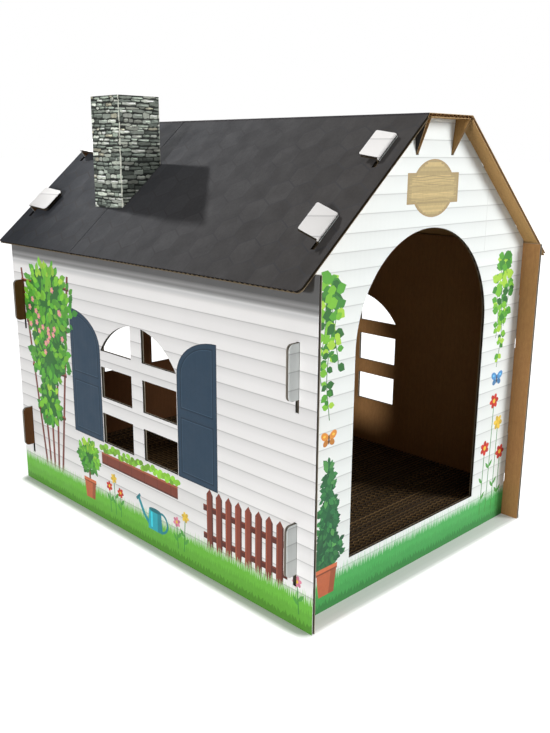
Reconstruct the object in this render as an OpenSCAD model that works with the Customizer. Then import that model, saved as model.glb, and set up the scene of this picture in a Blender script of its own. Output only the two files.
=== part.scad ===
// Flat-pack corrugated board cottage for a cat.
// Millimetres, +Z up. The origin is on the floor at the centre of the footprint.
// The door gable faces -Y, the ridge runs along Y and the chimney stands on the -X slope.

/* [Board and house] */
// Thickness of the corrugated board
board_t = 3.5; // [2.5:0.1:5]
// Width across the outer faces of the side walls
house_w = 360; // [320:1:420]
// Length of the side walls
house_l = 522; // [440:1:620]
// Distance of the gable walls behind the ends of the roof or of the side walls, whichever are shorter
gable_inset = 16; // [15:0.5:40]

/* [Roof] */
// Height of the ridge strip's top face
ridge_h = 457; // [430:1:520]
// Width of the flat ridge strip
ridge_w = 70; // [56:1:90]
// Pitch of the roof slopes in degrees
roof_pitch = 41; // [36:0.5:46]
// Horizontal overhang of the eaves past the side walls
eave_overhang = 18.5; // [5:0.5:40]
// Length of the roof along the ridge
roof_l = 512; // [500:1:560]
// Depth of the ridge flanges below the ridge's top face
flange_h = 36; // [20:0.5:50]
// Inward lean of the ridge flanges in degrees
flange_lean = 8; // [0:0.5:12]

/* [Door] */
// Width of the door
door_w = 214; // [120:1:240]
// Height of the door sill
door_sill = 43; // [20:0.5:80]
// Height at which the door's arch begins
door_spring = 246; // [160:1:280]
// Height of board between the top of the door's arch and the ridge flanges
door_head = 68; // [40:1:110]

/* [Windows] */
// Width of a window across its panes
window_w = 138; // [80:1:180]
// Width of the upright bar between the panes
mullion_w = 19.5; // [8:0.5:30]
// Height of the cross bars between the panes
bar_h = 18.25; // [8:0.25:26]
// Height at which the arched top panes begin
window_spring = 206.4; // [190:0.1:230]
// Rise of the arched top above that height
window_rise = 37; // [20:0.5:60]
// Height of the side windows' sills
side_sill = 98; // [70:0.5:120]
// Height of the rear window's sill
rear_sill = 128; // [100:0.5:150]

/* [Side tabs] */
// Height of a side tab
side_tab_h = 50; // [30:0.5:60]
// Length of a side tab past the outer face of the side wall
side_tab_out = 12.5; // [6:0.5:18]
// Height of the lower side tab's bottom edge
side_tab_low = 52.5; // [30:0.5:90]
// Distance of the upper side tab's top edge below the wall's top
side_tab_drop = 59; // [20:0.5:90]
// Length of a slit below its side tab
slit_extra = 12; // [0:0.5:20]
// Corner radius of the side tabs
side_tab_r = 5; // [1:0.5:6]

/* [Roof tabs] */
// Width of a roof tab along the slope
roof_tab_w = 31.5; // [20:0.5:40]
// Length of a front roof tab from its crease
roof_tab_l = 19; // [10:0.5:30]
// Length of a rear roof tab from its crease
rear_tab_l = 33; // [14:0.5:36]
// Distance of the upper roof tab from the ridge crease, along the slope
upper_tab_from_ridge = 31.5; // [20:0.5:45]
// Distance of the lower roof tab from the side wall's outer face, along the slope
lower_tab_from_wall = 29; // [22:0.5:45]
// Length of a roof slot below its tab
slot_extra = 9; // [0:0.5:14]
// Corner radius of the roof tabs
roof_tab_r = 4; // [1:0.5:8]
// Fold of the front gable's upper roof tabs away from straight out, in degrees
front_upper_fold = 79; // [0:1:85]
// Fold of the front gable's lower roof tabs away from straight out, in degrees
front_lower_fold = 55; // [0:1:85]
// Fold of the rear gable's roof tabs away from straight out, in degrees
rear_fold = 98; // [0:1:100]

/* [Chimney] */
// Outside width of the square chimney
chimney_w = 55; // [36:1:70]
// Horizontal distance of the chimney's centre from the ridge crease
chimney_from_ridge = 83.3; // [60:0.5:95]
// Distance of the chimney's centre behind the middle of the roof
chimney_back = 93; // [-120:1:150]
// Height of the chimney's top above the ridge
chimney_rise = 23; // [0:1:80]
// Width of the tabs at the chimney's foot
foot_tab_w = 22; // [12:0.5:26]
// Depth of the tabs at the chimney's foot below the roof's outer face
foot_tab_h = 16; // [8:0.5:24]

/* [Scratch pad] */
// Height of the scratch pad
pad_h = 40; // [20:1:60]
// Distance from one board strip of the pad to the next
strip_pitch = 5.2; // [4:0.1:10]
// Thickness of the ribs that the strips' faces make on the pad's top
rib_t = 1.2; // [0.8:0.1:2]
// Depth of the hollows between the ribs
hollow_depth = 6; // [2:0.5:12]

/* [Clearances] */
// Gap between the edge of a sheet and the sheet beside it
fit_gap = 0.3; // [0.1:0.1:1]
// Gap on each side of a tab or flange in its slot
slot_gap = 0.5; // [0.3:0.1:1.5]
// Gap between a roof tab's rounded crease and the neck below it
fold_gap = 0.3; // [0.1:0.1:0.8]
// Height of a front roof tab's neck above the roof's outer face
neck_rise = 0.2; // [0.1:0.1:3]
// Height of a rear roof tab's neck above the roof's outer face
rear_neck_rise = 6; // [4.5:0.1:12]
// Gap between the scratch pad and the walls around it
pad_gap = 0.6; // [0.3:0.1:5]

/* [Hidden] */
$fn = 64;

// Extra length of a cutting or joining shape past the face that it crosses
cut = 1;

half_w = house_w / 2;
half_ridge = ridge_w / 2;
half_eave = half_w + eave_overhang;
inner_half_w = half_w - board_t;
gable_half_w = inner_half_w - fit_gap;

// Outer, middle and inner planes of a gable wall's board, measured from the middle of the house
gable_outer = min(house_l, roof_l) / 2 - gable_inset;
gable_mid = gable_outer - board_t / 2;
gable_inner = gable_outer - board_t;

// Thickness of a roof slope measured straight down
roof_drop = board_t / cos(roof_pitch);

// Height of the roof slope's outer and inner faces at a distance x from the ridge's middle
function roof_outer(x) = ridge_h - (x - half_ridge) * tan(roof_pitch);
function roof_inner(x) = roof_outer(x) - roof_drop;

// Height of the chimney's cut foot at a distance x from the ridge's middle
function chimney_foot(x) = roof_outer(x) + fit_gap / cos(roof_pitch);

// Radius of an arch from half of its width and its rise
function arch_radius(half, rise) = (pow(half, 2) + pow(rise, 2)) / (2 * rise);

door_rise = ridge_h - flange_h - door_head - door_spring;
wall_h = roof_inner(half_w);
gable_top = ridge_h - board_t;
gable_top_half = half_ridge + (board_t - roof_drop) / tan(roof_pitch);

// Places of the roof tabs along the slope, from the ridge crease
slope_to_wall = (half_w - half_ridge) / cos(roof_pitch);
lower_tab_at = slope_to_wall - lower_tab_from_wall - roof_tab_w;
roof_tab_places = [upper_tab_from_ridge, lower_tab_at];

// Height of a roof tab's crease above the roof's outer face; past a right angle the tab dips over its neck
function crease_rise(neck, fold) = neck + fold_gap + board_t / 2 * tan(max(fold, 90) / 2);

side_tab_places = [side_tab_low, wall_h - side_tab_drop - side_tab_h];

chimney_x = half_ridge + chimney_from_ridge;
chimney_top = ridge_h + chimney_rise;

siding = [0.93, 0.94, 0.93];
shingle = [0.29, 0.29, 0.31];
stone = [0.55, 0.57, 0.54];
kraft = [0.65, 0.51, 0.33];

// A sheet drawn in X and Z, standing with its faces at y and y + board_t
module sheet_across(y) {
    translate([0, y + board_t, 0])
        rotate([90, 0, 0])
            linear_extrude(board_t)
                children();
}

// A sheet drawn in Y and Z, standing with its faces at x and x + board_t
module sheet_along(x) {
    translate([x, 0, 0])
        rotate([90, 0, 90])
            linear_extrude(board_t)
                children();
}

// An outline drawn in X and Z, drawn out to a length along Y about a middle
module bar_along(length, middle = 0) {
    translate([0, middle + length / 2, 0])
        rotate([90, 0, 0])
            linear_extrude(length)
                children();
}

// The +X slope's own frame: x runs down the slope, y along the ridge and z out of the roof
module on_slope() {
    translate([half_ridge, 0, ridge_h])
        rotate([0, roof_pitch, 0])
            children();
}

// The same frame in an outline drawn in X and Z
module on_slope_edge() {
    translate([half_ridge, ridge_h])
        rotate(-roof_pitch)
            children();
}

// Copies an outline to both sides of the middle
module both_sides() {
    children();
    mirror([1, 0, 0])
        children();
}

// A tab that starts at x = 0, with its two outer corners rounded
module tab_outline(length, width, radius) {
    square([length - radius, width]);
    translate([0, radius])
        square([length, width - 2 * radius]);
    for (v = [radius, width - radius])
        translate([length - radius, v])
            circle(radius);
}

// One column of window panes on the +X side of the mullion, from the sill up to the arch
module pane_column(sill, rows) {
    pane_w = (window_w - mullion_w) / 2;
    pane_h = (window_spring - sill - rows * bar_h) / rows;
    arch_r = arch_radius(window_w / 2, window_rise);
    for (row = [0 : rows - 1])
        translate([mullion_w / 2, sill + row * (pane_h + bar_h)])
            square([pane_w, pane_h]);
    intersection() {
        translate([0, window_spring + window_rise - arch_r])
            circle(arch_r, $fn = 128);
        translate([mullion_w / 2, window_spring])
            square([pane_w, window_rise]);
    }
}

// Openings of a whole window
module window(sill, rows) {
    both_sides()
        pane_column(sill, rows);
}

// Door opening with a round arch
module door() {
    arch_r = arch_radius(door_w / 2, door_rise);
    translate([-door_w / 2, door_sill])
        square([door_w, door_spring - door_sill]);
    intersection() {
        translate([0, door_spring + door_rise - arch_r])
            circle(arch_r, $fn = 128);
        translate([-door_w / 2, door_spring - cut])
            square([door_w, door_rise + cut]);
    }
}

// Cross-section of the +X ridge flange, with an optional gap around it
module flange_section(gap = 0) {
    depth = flange_h + gap;
    run = board_t / cos(flange_lean);
    lean = depth * tan(flange_lean);
    polygon([
        [half_ridge + gap, ridge_h],
        [half_ridge - run - gap, ridge_h],
        [half_ridge - run - gap - lean, ridge_h - depth],
        [half_ridge + gap - lean, ridge_h - depth]
    ]);
}

// Outline shared by the gable walls, without door or window; neck is the height of its roof tabs' necks
module gable_outline(neck) {
    difference() {
        union() {
            polygon([
                [-gable_half_w, 0],
                [gable_half_w, 0],
                [gable_half_w, roof_inner(gable_half_w)],
                [gable_top_half, gable_top],
                [-gable_top_half, gable_top],
                [-gable_half_w, roof_inner(gable_half_w)]
            ]);
            both_sides() {
                for (z = side_tab_places)
                    translate([gable_half_w - cut, z])
                        tab_outline(half_w + side_tab_out - gable_half_w + cut, side_tab_h, side_tab_r);
                on_slope_edge()
                    for (s = roof_tab_places)
                        translate([s, -board_t - cut])
                            square([roof_tab_w, board_t + cut + neck]);
            }
        }
        both_sides()
            flange_section(slot_gap);
    }
}

// Side wall sheet with its window and the slits for the gable walls' tabs
module side_wall_outline() {
    slit_w = board_t + 2 * slot_gap;
    difference() {
        translate([-house_l / 2, 0])
            square([house_l, wall_h]);
        window(side_sill, 2);
        both_sides()
            for (z = side_tab_places)
                translate([gable_mid - slit_w / 2, z - slit_extra])
                    square([slit_w, side_tab_h + slit_extra + slot_gap]);
    }
}

// The +X roof slope with the slots for the roof tabs' necks
module roof_slope() {
    slot_w = board_t + 2 * slot_gap;
    difference() {
        bar_along(roof_l)
            polygon([
                [half_ridge, ridge_h],
                [half_eave, roof_outer(half_eave)],
                [half_eave - board_t * sin(roof_pitch), roof_outer(half_eave) - board_t * cos(roof_pitch)],
                [half_ridge, ridge_h - roof_drop]
            ]);
        on_slope()
            for (y = [-gable_mid, gable_mid], s = roof_tab_places)
                translate([s - slot_gap, y - slot_w / 2, -board_t - cut])
                    cube([roof_tab_w + slot_gap + slot_extra, slot_w, board_t + 2 * cut]);
    }
}

// Places of the chimney's front and rear sheets, at their lower Y faces
chimney_sheets = [chimney_back - chimney_w / 2, chimney_back + chimney_w / 2 - board_t];

// The chimney on the +X slope, cut to the pitch, with a tab below its front and rear sheets
module chimney_sleeve() {
    x1 = chimney_x - chimney_w / 2;
    x2 = chimney_x + chimney_w / 2;
    tab1 = chimney_x - foot_tab_w / 2;
    tab2 = chimney_x + foot_tab_w / 2;
    for (y = chimney_sheets)
        sheet_across(y)
            polygon([
                [x1, chimney_top],
                [x1, chimney_foot(x1)],
                [tab1, chimney_foot(tab1)],
                [tab1, roof_outer(tab1) - foot_tab_h],
                [tab2, roof_outer(tab2) - foot_tab_h],
                [tab2, chimney_foot(tab2)],
                [x2, chimney_foot(x2)],
                [x2, chimney_top]
            ]);
    for (x = [x1, x2 - board_t])
        bar_along(chimney_w, chimney_back)
            polygon([
                [x, chimney_foot(x)],
                [x + board_t, chimney_foot(x + board_t)],
                [x + board_t, chimney_top],
                [x, chimney_top]
            ]);
}

// Slots in the +X slope for the tabs at the chimney's foot
module chimney_slots() {
    for (y = chimney_sheets)
        translate([
            chimney_x - foot_tab_w / 2 - slot_gap,
            y - slot_gap,
            roof_inner(chimney_x + foot_tab_w) - cut
        ])
            cube([
                foot_tab_w + 2 * slot_gap,
                board_t + 2 * slot_gap,
                roof_outer(chimney_x - foot_tab_w) - roof_inner(chimney_x + foot_tab_w) + 2 * cut
            ]);
}

// A roof tab on the +X slope at one end of the house, with a rounded crease at its foot
// end is -1 at the front and 1 at the rear; the fold leans towards the middle of the house
module roof_tab(end, place, fold) {
    length = end < 0 ? roof_tab_l : rear_tab_l;
    neck = end < 0 ? neck_rise : rear_neck_rise;
    on_slope()
        translate([place, end * gable_mid, crease_rise(neck, fold)])
            rotate([end * fold, 0, 0]) {
                translate([0, board_t / 2, 0])
                    rotate([90, 0, 0])
                        linear_extrude(board_t)
                            mirror([1, -1, 0])
                                tab_outline(length, roof_tab_w, roof_tab_r);
                rotate([0, 90, 0])
                    cylinder(h = roof_tab_w, d = board_t);
            }
}

module left_wall() {
    color(siding)
        sheet_along(-half_w)
            side_wall_outline();
}

module right_wall() {
    color(siding)
        sheet_along(inner_half_w)
            side_wall_outline();
}

module front_wall() {
    color(siding)
        sheet_across(-gable_outer)
            difference() {
                gable_outline(neck_rise);
                door();
            }
}

module rear_wall() {
    color(siding)
        sheet_across(gable_inner)
            difference() {
                gable_outline(rear_neck_rise);
                window(rear_sill, 1);
            }
}

module right_roof() {
    color(shingle)
        roof_slope();
}

module left_roof() {
    color(shingle)
        mirror([1, 0, 0])
            difference() {
                roof_slope();
                chimney_slots();
            }
}

module ridge_channel() {
    color(shingle) {
        translate([-half_ridge, -roof_l / 2, ridge_h - board_t])
            cube([ridge_w, roof_l, board_t]);
        intersection() {
            bar_along(roof_l)
                both_sides()
                    flange_section();
            translate([-half_ridge, 0, 0])
                rotate([90, 0, 90])
                    linear_extrude(ridge_w)
                        polygon([
                            [-roof_l / 2, ridge_h],
                            [-gable_outer, ridge_h - flange_h],
                            [gable_outer, ridge_h - flange_h],
                            [roof_l / 2, ridge_h]
                        ]);
        }
    }
}

module chimney() {
    color(stone)
        mirror([1, 0, 0])
            chimney_sleeve();
}

// Board strips on edge, side by side across the house; their faces stand as ribs over the hollows between
module scratch_pad() {
    pad_w = 2 * (inner_half_w - pad_gap);
    pad_l = 2 * (gable_inner - pad_gap);
    strips = round(pad_l / strip_pitch);
    step = (pad_l - rib_t) / strips;
    color(kraft)
        translate([-pad_w / 2, 0, 0])
            rotate([90, 0, 90])
                linear_extrude(pad_w)
                    difference() {
                        translate([-pad_l / 2, 0])
                            square([pad_l, pad_h]);
                        for (k = [0 : strips - 1])
                            translate([rib_t - pad_l / 2 + k * step, pad_h - hollow_depth])
                                square([step - rib_t, hollow_depth + cut]);
                    }
}

module right_tab(end, place, fold) {
    color(siding)
        roof_tab(end, place, fold);
}

module left_tab(end, place, fold) {
    color(siding)
        mirror([1, 0, 0])
            roof_tab(end, place, fold);
}

module front_left_upper_tab() { left_tab(-1, upper_tab_from_ridge, front_upper_fold); }
module front_left_lower_tab() { left_tab(-1, lower_tab_at, front_lower_fold); }
module front_right_upper_tab() { right_tab(-1, upper_tab_from_ridge, front_upper_fold); }
module front_right_lower_tab() { right_tab(-1, lower_tab_at, front_lower_fold); }
module rear_left_upper_tab() { left_tab(1, upper_tab_from_ridge, rear_fold); }
module rear_left_lower_tab() { left_tab(1, lower_tab_at, rear_fold); }
module rear_right_upper_tab() { right_tab(1, upper_tab_from_ridge, rear_fold); }
module rear_right_lower_tab() { right_tab(1, lower_tab_at, rear_fold); }

left_wall();
right_wall();
front_wall();
rear_wall();
left_roof();
right_roof();
ridge_channel();
chimney();
scratch_pad();
front_left_upper_tab();
front_left_lower_tab();
front_right_upper_tab();
front_right_lower_tab();
rear_left_upper_tab();
rear_left_lower_tab();
rear_right_upper_tab();
rear_right_lower_tab();
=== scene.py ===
"""Looks of a flat-pack corrugated board cottage for a cat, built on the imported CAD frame."""
import random
from math import acos, cos, dist, hypot, pi, radians, sin, sqrt, tan, tau

import bmesh
import bpy
from mathutils import Matrix, Vector
from mathutils.geometry import delaunay_2d_cdt


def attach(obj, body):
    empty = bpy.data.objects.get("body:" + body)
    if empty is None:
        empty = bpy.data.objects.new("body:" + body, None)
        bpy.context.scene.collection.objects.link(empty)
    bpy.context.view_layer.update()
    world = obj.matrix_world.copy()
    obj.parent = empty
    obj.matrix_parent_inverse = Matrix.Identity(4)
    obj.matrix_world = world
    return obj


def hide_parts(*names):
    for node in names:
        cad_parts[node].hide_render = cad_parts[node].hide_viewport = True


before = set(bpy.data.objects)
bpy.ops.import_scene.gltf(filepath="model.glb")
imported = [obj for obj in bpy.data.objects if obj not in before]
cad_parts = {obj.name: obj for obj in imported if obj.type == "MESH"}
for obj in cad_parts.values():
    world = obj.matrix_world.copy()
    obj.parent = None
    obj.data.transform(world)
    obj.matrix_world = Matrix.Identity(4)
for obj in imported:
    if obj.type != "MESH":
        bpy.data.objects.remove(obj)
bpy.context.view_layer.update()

# Sizes of the part, in millimetres
MM = 0.001
BOARD = 3.5
HALF_W, HALF_L = 180.0, 261.0
GABLE_OUTER = 240.0
GABLE_MID = GABLE_OUTER - BOARD / 2
RIDGE_H, HALF_RIDGE = 457.0, 35.0
PITCH = radians(41)
HALF_EAVE, HALF_ROOF = 198.5, 256.0
FLANGE_H, FLANGE_LEAN = 36.0, radians(8)
DOOR_HALF, DOOR_SILL, DOOR_SPRING = 107.0, 43.0, 246.0
WINDOW_HALF, MULLION, BAR = 69.0, 19.5, 18.25
WINDOW_SPRING, WINDOW_RISE = 206.4, 37.0
SIDE_SILL, REAR_SILL = 98.0, 128.0
SIDE_TAB_H, SIDE_TAB_OUT, SIDE_TAB_LOW, SIDE_TAB_DROP, SIDE_TAB_R = 50.0, 12.5, 52.5, 59.0, 5.0
SLIT_EXTRA = 12.0
ROOF_TAB_W = 31.5
UPPER_TAB, LOWER_TAB_FROM_WALL, SLOT_EXTRA = 31.5, 29.0, 9.0
FRONT_TABS = {"upper": 79, "lower": 55, "length": 19.0, "neck": 0.2, "corner": 1.4}
REAR_TABS = {"upper": 98, "lower": 98, "length": 33.0, "neck": 6.0, "corner": 4.0}
CHIMNEY_X, CHIMNEY_Y, CHIMNEY_HALF, CHIMNEY_TOP = 118.3, 93.0, 27.5, 480.0
FOOT_TAB_HALF, FOOT_TAB_H = 11.0, 16.0
PAD_H, PAD_STRIP, PAD_WAVE, PAD_DEPTH, PAD_SHEET = 40.0, 5.2, 8.0, 6.0, 0.6
FIT_GAP, SLOT_GAP, FOLD_GAP, PAD_GAP = 0.3, 0.5, 0.3, 0.6

# Layers of the board: two liners with a fluted sheet between them
LINER = 0.45
FLUTE_SHEET, FLUTE_PITCH, FLUTE_STEPS, FLUTE_RECESS = 0.3, 6.5, 6, 0.25
PRINT, KRAFT, RIM, FLUTE = range(4)

# Wear and folds of the sheets, and the dark line printed along the ridge
FOLD_CHAMFER = 2.1
CREASE_HALF, CREASE_DEPTH, ROOF_CREASE_Y = 1.6, 0.5, 92.0
WORN_CORNER_R = 5.0
RIDGE_LINE = 3.0

# Overlaps of the outlines that make up one sheet
TAB_OVERLAP, FOOT_OVERLAP = 1.0, 2.0

# Limits of the meshing: cuts in millimetres, joined points in metres
CUT_LIMIT, SAME_POINT = 1e-4, 2e-6

COS, SIN, TAN = cos(PITCH), sin(PITCH), tan(PITCH)
INNER_HALF_W = HALF_W - BOARD
GABLE_HALF_W = INNER_HALF_W - FIT_GAP
SLIT_HALF = BOARD / 2 + SLOT_GAP
LOWER_TAB = (HALF_W - HALF_RIDGE) / COS - LOWER_TAB_FROM_WALL - ROOF_TAB_W
ROOF_TABS = {"upper": UPPER_TAB, "lower": LOWER_TAB}
SLOPE_LENGTH = (HALF_EAVE - HALF_RIDGE) / COS


def roof_outer(x):
    """Height of the roof's outer face at a distance x from the ridge's middle."""
    return RIDGE_H - (x - HALF_RIDGE) * TAN


def roof_inner(x):
    return roof_outer(x) - BOARD / COS


def chimney_foot(x):
    return roof_outer(x) + FIT_GAP / COS


WALL_H = roof_inner(HALF_W)
SIDE_TABS = (SIDE_TAB_LOW, WALL_H - SIDE_TAB_DROP - SIDE_TAB_H)


# Flat shapes, as lists of (u, v) points
def rect(u0, v0, u1, v1):
    return [(u0, v0), (u1, v0), (u1, v1), (u0, v1)]


def mirrored(points):
    return [(-u, v) for u, v in points]


def turned(points, u, v, angle):
    c, s = cos(angle), sin(angle)
    return [(u + x * c - y * s, v + x * s + y * c) for x, y in points]


def arc(u, v, ru, rv, start, end, count):
    """Points on an oval around (u, v), from one angle to another."""
    angles = [start + (end - start) * k / count for k in range(count + 1)]
    return [(u + ru * cos(a), v + rv * sin(a)) for a in angles]


def oval(u, v, ru, rv, count=14, turn=0.0):
    return turned(arc(0, 0, ru, rv, 0, tau, count)[:-1], u, v, turn)


def leaf(u, v, length, width, angle):
    shape = [(0, 0), (0.28, 0.42), (0.62, 0.44), (1, 0), (0.62, -0.44), (0.28, -0.42)]
    return turned([(x * length, y * width) for x, y in shape], u, v, angle)


def stroke(points, width):
    """A line of some width, as one closed outline."""
    left, right = [], []
    for k, (u, v) in enumerate(points):
        before, after = points[max(k - 1, 0)], points[min(k + 1, len(points) - 1)]
        du, dv = after[0] - before[0], after[1] - before[1]
        size = hypot(du, dv)
        side = (-dv / size * width / 2, du / size * width / 2)
        left.append((u + side[0], v + side[1]))
        right.append((u - side[0], v - side[1]))
    return left + right[::-1]


def area(points):
    return sum(a[0] * b[1] - b[0] * a[1] for a, b in zip(points, points[1:] + points[:1])) / 2


def ccw(points):
    return points if area(points) > 0 else points[::-1]


def rounded_tab(length, half, radius):
    """A tab from v = 0 to v = length with its two free corners rounded."""
    quarter = pi / 2
    right = arc(half - radius, length - radius, radius, radius, 0, quarter, 6)
    left = arc(radius - half, length - radius, radius, radius, quarter, 2 * quarter, 6)
    return [(-half, 0.0), (half, 0.0)] + right + left


def doorway():
    top = arc(0, DOOR_SPRING, DOOR_HALF, DOOR_HALF, 0, pi, 64)
    return [(-DOOR_HALF, DOOR_SILL), (DOOR_HALF, DOOR_SILL)] + top


def panes(sill, rows):
    """Cut-outs of one window: rows of panes with an arched pair on top."""
    height = (WINDOW_SPRING - sill - rows * BAR) / rows
    inner, shapes = MULLION / 2, []
    for row in range(rows):
        low = sill + row * (height + BAR)
        shapes.append(rect(inner, low, WINDOW_HALF, low + height))
    radius = (WINDOW_HALF ** 2 + WINDOW_RISE ** 2) / (2 * WINDOW_RISE)
    middle = WINDOW_SPRING + WINDOW_RISE - radius
    first, last = acos(WINDOW_HALF / radius), acos(inner / radius)
    top = arc(0, middle, radius, radius, first, last, 18)[1:]
    shapes.append([(inner, WINDOW_SPRING), (WINDOW_HALF, WINDOW_SPRING)] + top)
    return shapes + [mirrored(s) for s in shapes]


# Places of the sheets: each turns (u, v, n) into a point, with n out of the printed face
def flat_place(origin, u_axis, v_axis):
    origin, u_axis, v_axis = Vector(origin), Vector(u_axis), Vector(v_axis)
    normal = u_axis.cross(v_axis)

    def place(u, v, n):
        return origin + u_axis * u + v_axis * v + normal * n
    return place


def slope_place(side, crease=None):
    """A roof slope with v up to the ridge; its top edge is cut upright, as the fold leaves it.

    A crease is a shallow groove from the ridge to the eave at one place along u.
    """
    flat = flat_place((side * HALF_RIDGE, 0, RIDGE_H), (0, side, 0), (-side * COS, 0, SIN))
    cut_length = 30.0

    def place(u, v, n):
        share = min(max((v + cut_length) / cut_length, 0), 1)
        sunk = 0.0 if crease is None else max(0.0, 1 - abs(u - crease) / CREASE_HALF) * CREASE_DEPTH
        return flat(u, v + share * n * TAN, n - sunk)
    return place


def folded(path, closed=False):
    """A function from a length along a folded path, and a distance out of it, to a flat point.

    It comes with the lengths at the path's corners.
    """
    marks, sides = [0.0], []
    for a, b in zip(path, path[1:]):
        size = dist(a, b)
        marks.append(marks[-1] + size)
        sides.append(Vector(((b[1] - a[1]) / size, (a[0] - b[0]) / size)))
    miters = []
    for k in range(len(path)):
        before = sides[k - 1] if k > 0 or closed else sides[0]
        after = sides[k % len(sides)] if k < len(sides) or closed else sides[-1]
        both = before + after
        miters.append(both / both.dot(after))

    def at(u, n):
        k = max(i for i in range(len(sides)) if i == 0 or marks[i] <= u)
        t = (u - marks[k]) / (marks[k + 1] - marks[k])
        a = Vector(path[k]) + miters[k] * n
        b = Vector(path[k + 1]) + miters[k + 1] * n
        return a.lerp(b, t)
    return at, marks


# Boards
NO_INK = (0.0, 0.0, 0.0, 0.0)


def new_object(name, data):
    made = bpy.data.objects.new(name, data)
    bpy.context.scene.collection.objects.link(made)
    return made


class Build:
    """A mesh in the making: points in millimetres, faces with a material slot and an ink."""

    def __init__(self):
        self.points, self.faces, self.slots, self.inks = [], [], [], []

    def add(self, points, faces, slot, inks=None):
        start = len(self.points)
        self.points.extend(points)
        for k, face in enumerate(faces):
            self.faces.append([start + i for i in face])
            self.slots.append(slot)
            self.inks.append(inks[k] if inks else NO_INK)

    def finish(self, name, materials, body, replaced, slot):
        mesh = bpy.data.meshes.new(name)
        bm = bmesh.new()
        layer = bm.loops.layers.float_color.new("ink")
        verts = [bm.verts.new(p * MM) for p in self.points]
        for face, material, colour in zip(self.faces, self.slots, self.inks):
            made = bm.faces.new([verts[i] for i in face])
            made.material_index = material
            for loop in made.loops:
                loop[layer] = colour
        bmesh.ops.remove_doubles(bm, verts=bm.verts, dist=SAME_POINT)
        loose = [v for v in bm.verts if not v.link_faces]
        bmesh.ops.delete(bm, geom=loose, context="VERTS")
        bm.to_mesh(mesh)
        bm.free()
        for material in materials:
            mesh.materials.append(material)
        piece = new_object(name, mesh)
        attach(piece, body)
        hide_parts(replaced)


def cut_sheet(solids, holes, regions=(), marks=()):
    """Cuts a sheet and the regions of its print into triangles, each with its topmost region or None."""
    points, faces, edges = [], [], []
    for shape in (*solids, *holes, *(r[0] for r in regions)):
        faces.append(list(range(len(points), len(points) + len(shape))))
        points.extend(Vector(p) for p in ccw(shape))
    for start, end in marks:
        edges.append((len(points), len(points) + 1))
        points.extend((Vector(start), Vector(end)))
    flat, _, triangles, _, _, origins = delaunay_2d_cdt(points, edges, faces, 0, CUT_LIMIT)
    first_hole, first_region = len(solids), len(solids) + len(holes)
    kept = []
    for triangle, found in zip(triangles, origins):
        in_solid = any(k < first_hole for k in found)
        in_hole = any(first_hole <= k < first_region for k in found)
        if in_solid and not in_hole:
            top = max(found)
            kept.append((list(triangle), top - first_region if top >= first_region else None))
    return flat, kept


def rim_loops(kept):
    """The closed outlines around the kept triangles, as lists of point numbers."""
    edges = {(t[k], t[(k + 1) % 3]) for t, _ in kept for k in range(3)}
    ahead = {}
    for a, b in edges:
        if (b, a) not in edges:
            ahead.setdefault(a, []).append(b)
    loops = []
    while ahead:
        loop, here = [], next(iter(ahead))
        while here in ahead:
            loop.append(here)
            following = ahead[here].pop()
            if not ahead[here]:
                del ahead[here]
            here = following
        loops.append(loop)
    return loops


def add_liner(build, place, sheet, inks, top, bottom, slots, marks):
    """One liner as a closed slab. slots are the material numbers of its outer face, inner face and rim."""
    flat, kept = sheet
    build.add([place(p[0], p[1], top) for p in flat], [t for t, _ in kept], slots[0],
              [NO_INK if r is None else inks[r] for _, r in kept])
    loops = [[tuple(flat[i]) for i in loop] for loop in rim_loops(kept)]
    outer = [loop for loop in loops if area(loop) > 0]
    inner = [loop for loop in loops if area(loop) < 0]
    back, back_kept = cut_sheet(outer, inner, (), marks)
    build.add([place(p[0], p[1], bottom) for p in back], [t[::-1] for t, _ in back_kept], slots[1])
    for loop in loops:
        high = [place(u, v, top) for u, v in loop]
        low = [place(u, v, bottom) for u, v in loop]
        count = len(loop)
        quads = [(k, k + count, (k + 1) % count + count, (k + 1) % count) for k in range(count)]
        build.add(high + low, quads, slots[2])


def crossings(loop, u):
    found = []
    for a, b in zip(loop, loop[1:] + loop[:1]):
        if (a[0] > u) != (b[0] > u):
            found.append(a[1] + (b[1] - a[1]) * (u - a[0]) / (b[0] - a[0]))
    found.sort()
    return list(zip(found[::2], found[1::2]))


def spans_at(solids, holes, u):
    """Stretches of v that are board along one line of constant u."""
    joined = []
    for low, high in sorted(s for loop in solids for s in crossings(loop, u)):
        if joined and low <= joined[-1][1]:
            joined[-1][1] = max(joined[-1][1], high)
        else:
            joined.append([low, high])
    for low, high in (s for loop in holes for s in crossings(loop, u)):
        left = []
        for a, b in joined:
            if high <= a or low >= b:
                left.append([a, b])
                continue
            if a < low:
                left.append([a, low])
            if b > high:
                left.append([high, b])
        joined = left
    return [(a + FLUTE_RECESS, b - FLUTE_RECESS) for a, b in joined if b - a > 3 * FLUTE_RECESS]


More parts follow.
